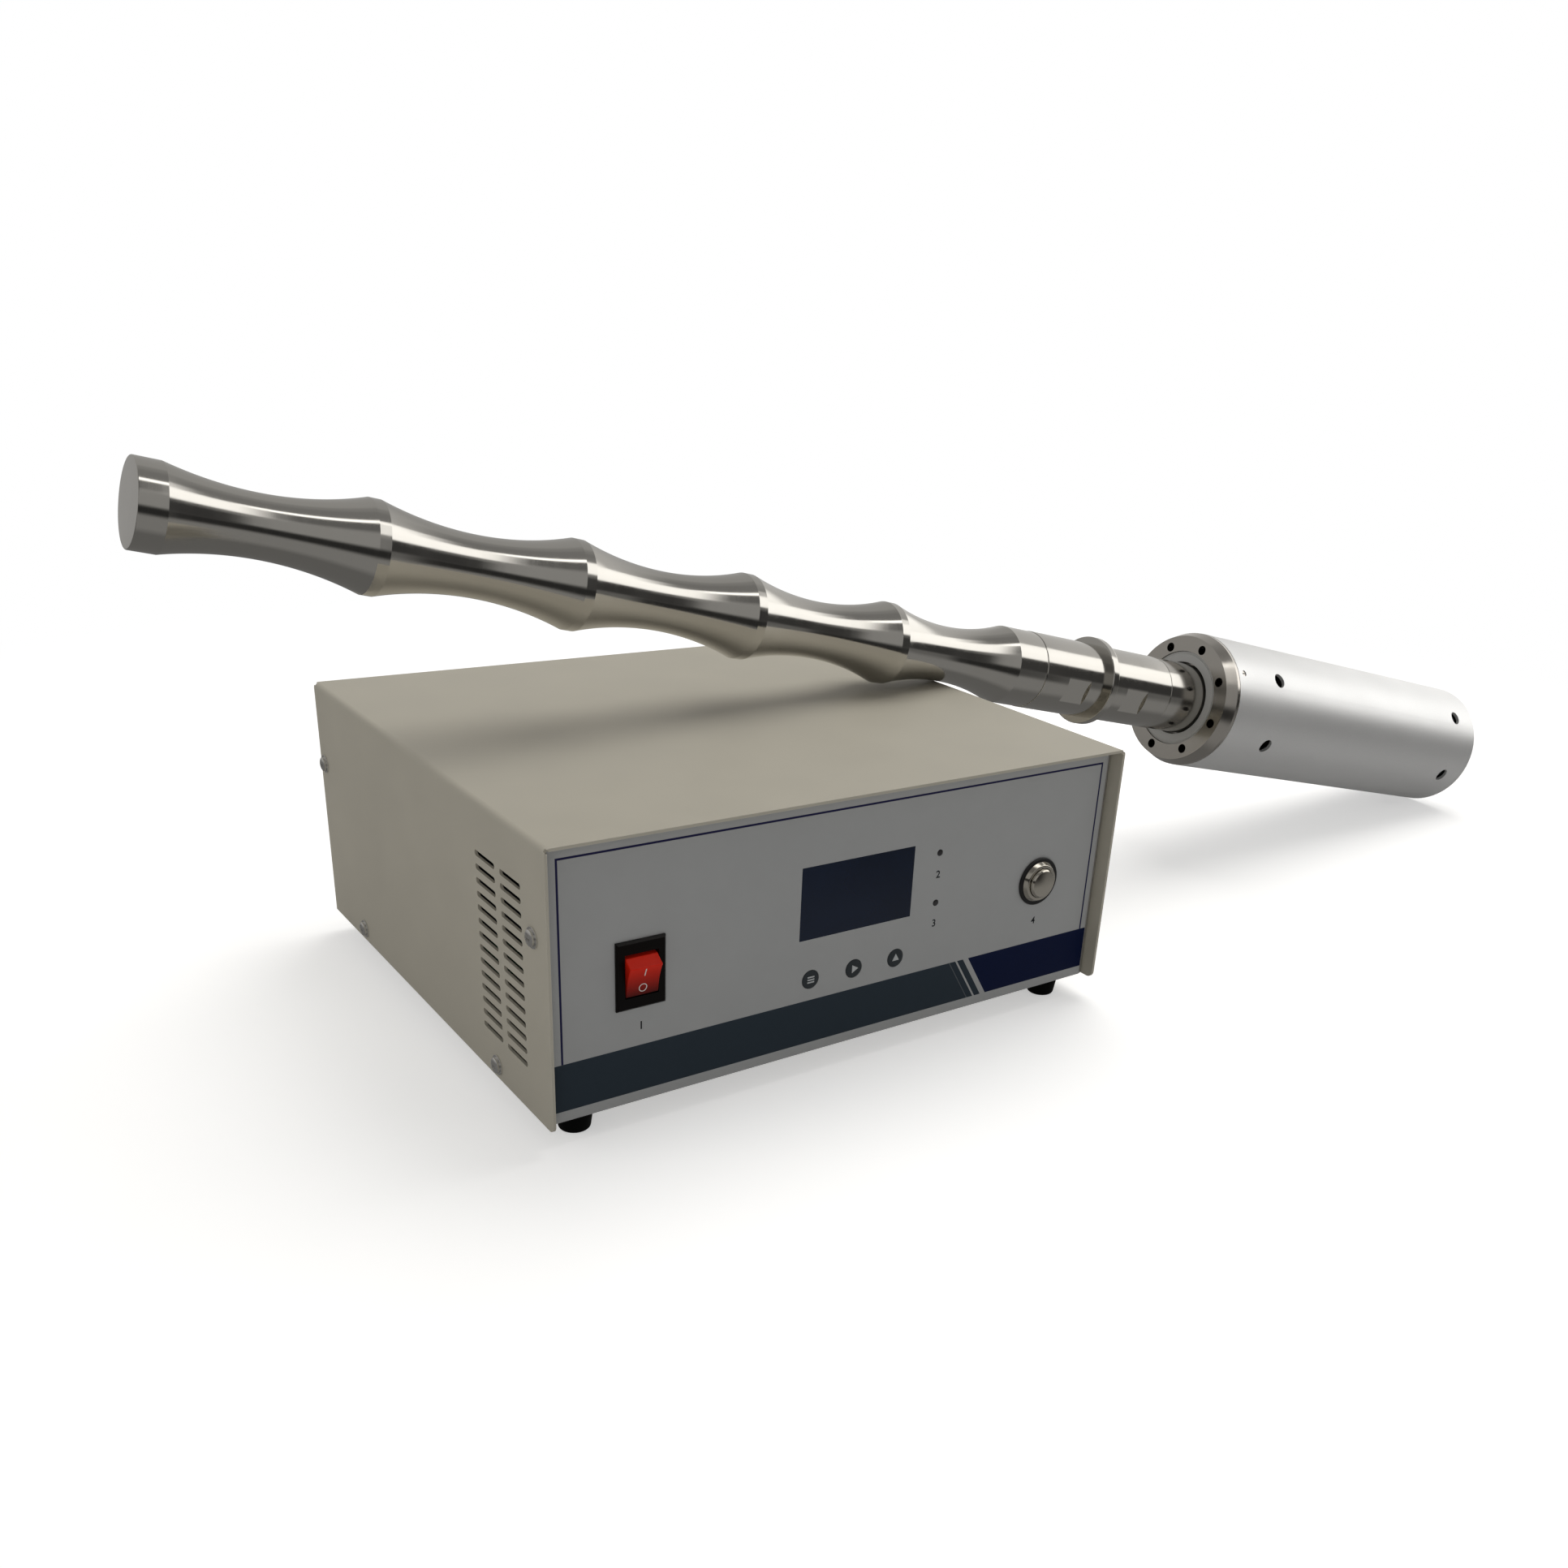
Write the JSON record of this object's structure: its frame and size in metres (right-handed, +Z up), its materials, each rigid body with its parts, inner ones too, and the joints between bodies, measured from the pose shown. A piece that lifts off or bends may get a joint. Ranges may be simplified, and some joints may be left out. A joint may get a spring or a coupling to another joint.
{
  "type": "ultrasonic processor",
  "caption": "Bench ultrasonic processor: sheet-steel generator box with front controls, and a long waisted steel horn on a flanged, vented transducer housing that leans on the box.",
  "frame": {"origin": "on the bench under the middle of the whole object's box", "axes": "+X along the box's width, towards the transducer housing; +Y from the front panel to the rear; +Z up"},
  "size_m": [1.0312, 0.3164, 0.292],
  "materials": {
    "cover_paint": "warm grey fine-texture powder coat",
    "zinc_sheet": "zinc-plated sheet",
    "panel_film": "satin printed film, grey with slate and blue bands",
    "bright_screw": "nickel-plated",
    "foot_rubber": "matt black",
    "black_plastic": "satin black",
    "red_plastic": "glossy red",
    "key_plastic": "dark grey",
    "polished_button": "polished",
    "seal_rubber": "black",
    "display_glass": "dark glossy window",
    "board_green": "green solder mask",
    "brass_part": "plain",
    "led_plastic": "dark",
    "turned_steel": "turned, bright",
    "flange_steel": "turned, brown-grey",
    "blasted_aluminium": "bead-blasted, satin",
    "heatsink_aluminium": "extruded",
    "can_aluminium": "sleeved",
    "piezo_ceramic": "ceramic with silvered faces",
    "retainer_grey": "satin grey",
    "gasket_rubber": "black",
    "ferrite": "dark grey ferrite",
    "copper_winding": "taped copper winding"
  },
  "bodies": {
    "generator": {"cover_shell": "cover_paint", "base_tray": "cover_paint", "cover_screws": "bright_screw", "feet": "foot_rubber", "foot_screws": "bright_screw", "front_panel": "zinc_sheet", "front_overlay": "panel_film", "rocker_housing": "black_plastic", "start_button_barrel": "polished_button", "start_button_seal": "seal_rubber", "start_button_contacts": "black_plastic", "start_button_nut": "bright_screw", "lcd_window": "display_glass", "lcd_module": "black_plastic", "control_board": "board_green", "board_standoffs": "brass_part", "tact_switches": "black_plastic", "indicator_leds": "led_plastic", "rear_panel": "cover_paint", "fan_frame": "black_plastic", "fan_guard": "bright_screw", "fan_screws": "bright_screw", "mains_inlet": "black_plastic", "inlet_pins": "brass_part", "fuse_holder": "black_plastic", "transducer_socket": "bright_screw", "socket_pins": "brass_part", "earth_stud": "brass_part", "power_board": "board_green", "power_board_standoffs": "brass_part", "capacitors": "can_aluminium", "heatsink": "heatsink_aluminium", "power_transistors": "black_plastic", "transformer_core": "ferrite", "transformer_winding": "copper_winding", "tuning_choke": "copper_winding"},
    "rocker": {"power_rocker": "red_plastic"},
    "start_cap": {"start_button_cap": "polished_button"},
    "mode_key": {"key_mode": "key_plastic"},
    "next_key": {"key_next": "key_plastic"},
    "up_key": {"key_up": "key_plastic"},
    "rotor": {"fan_rotor": "black_plastic"},
    "probe": {"horn": "turned_steel", "horn_stud": "turned_steel", "booster": "turned_steel", "booster_stud": "turned_steel", "front_mass": "turned_steel", "piezo_discs": "piezo_ceramic", "electrodes": "brass_part", "back_mass": "flange_steel", "preload_bolt": "flange_steel", "mounting_flange": "flange_steel", "retaining_ring": "retainer_grey", "flange_gasket": "gasket_rubber", "housing_tube": "blasted_aluminium", "set_screws": "flange_steel", "rear_cap": "blasted_aluminium", "cable_socket": "bright_screw", "cap_screws": "bright_screw"}
  },
  "joints": [
    {"name": "rocker_hinge", "type": "hinge", "parent": "generator", "child": "rocker", "pos_m": [-0.3547, -0.14636, 0.0819], "axis": [-1, 0, 0], "range_deg": [0, 32]},
    {"name": "start_press", "type": "slide", "parent": "generator", "child": "start_cap", "axis": [0, 1, 0], "range_m": [0, 0.0025], "stiffness_N_per_m": 600, "springref_m": -0.002},
    {"name": "mode_key_press", "type": "slide", "parent": "generator", "child": "mode_key", "axis": [0, 1, 0], "range_m": [0, 0.0005], "stiffness_N_per_m": 800, "springref_m": -0.001},
    {"name": "next_key_press", "type": "slide", "parent": "generator", "child": "next_key", "axis": [0, 1, 0], "range_m": [0, 0.0005], "stiffness_N_per_m": 800, "springref_m": -0.001},
    {"name": "up_key_press", "type": "slide", "parent": "generator", "child": "up_key", "axis": [0, 1, 0], "range_m": [0, 0.0005], "stiffness_N_per_m": 800, "springref_m": -0.001},
    {"name": "fan_spin", "type": "hinge", "parent": "generator", "child": "rotor", "pos_m": [-0.1342, 0.1317, 0.085], "axis": [0, 1, 0], "continuous": true},
    {"name": "probe_lift", "type": "slide", "parent": "generator", "child": "probe", "axis": [0, 0, 1], "range_m": [0, 0.35]}
  ]
}
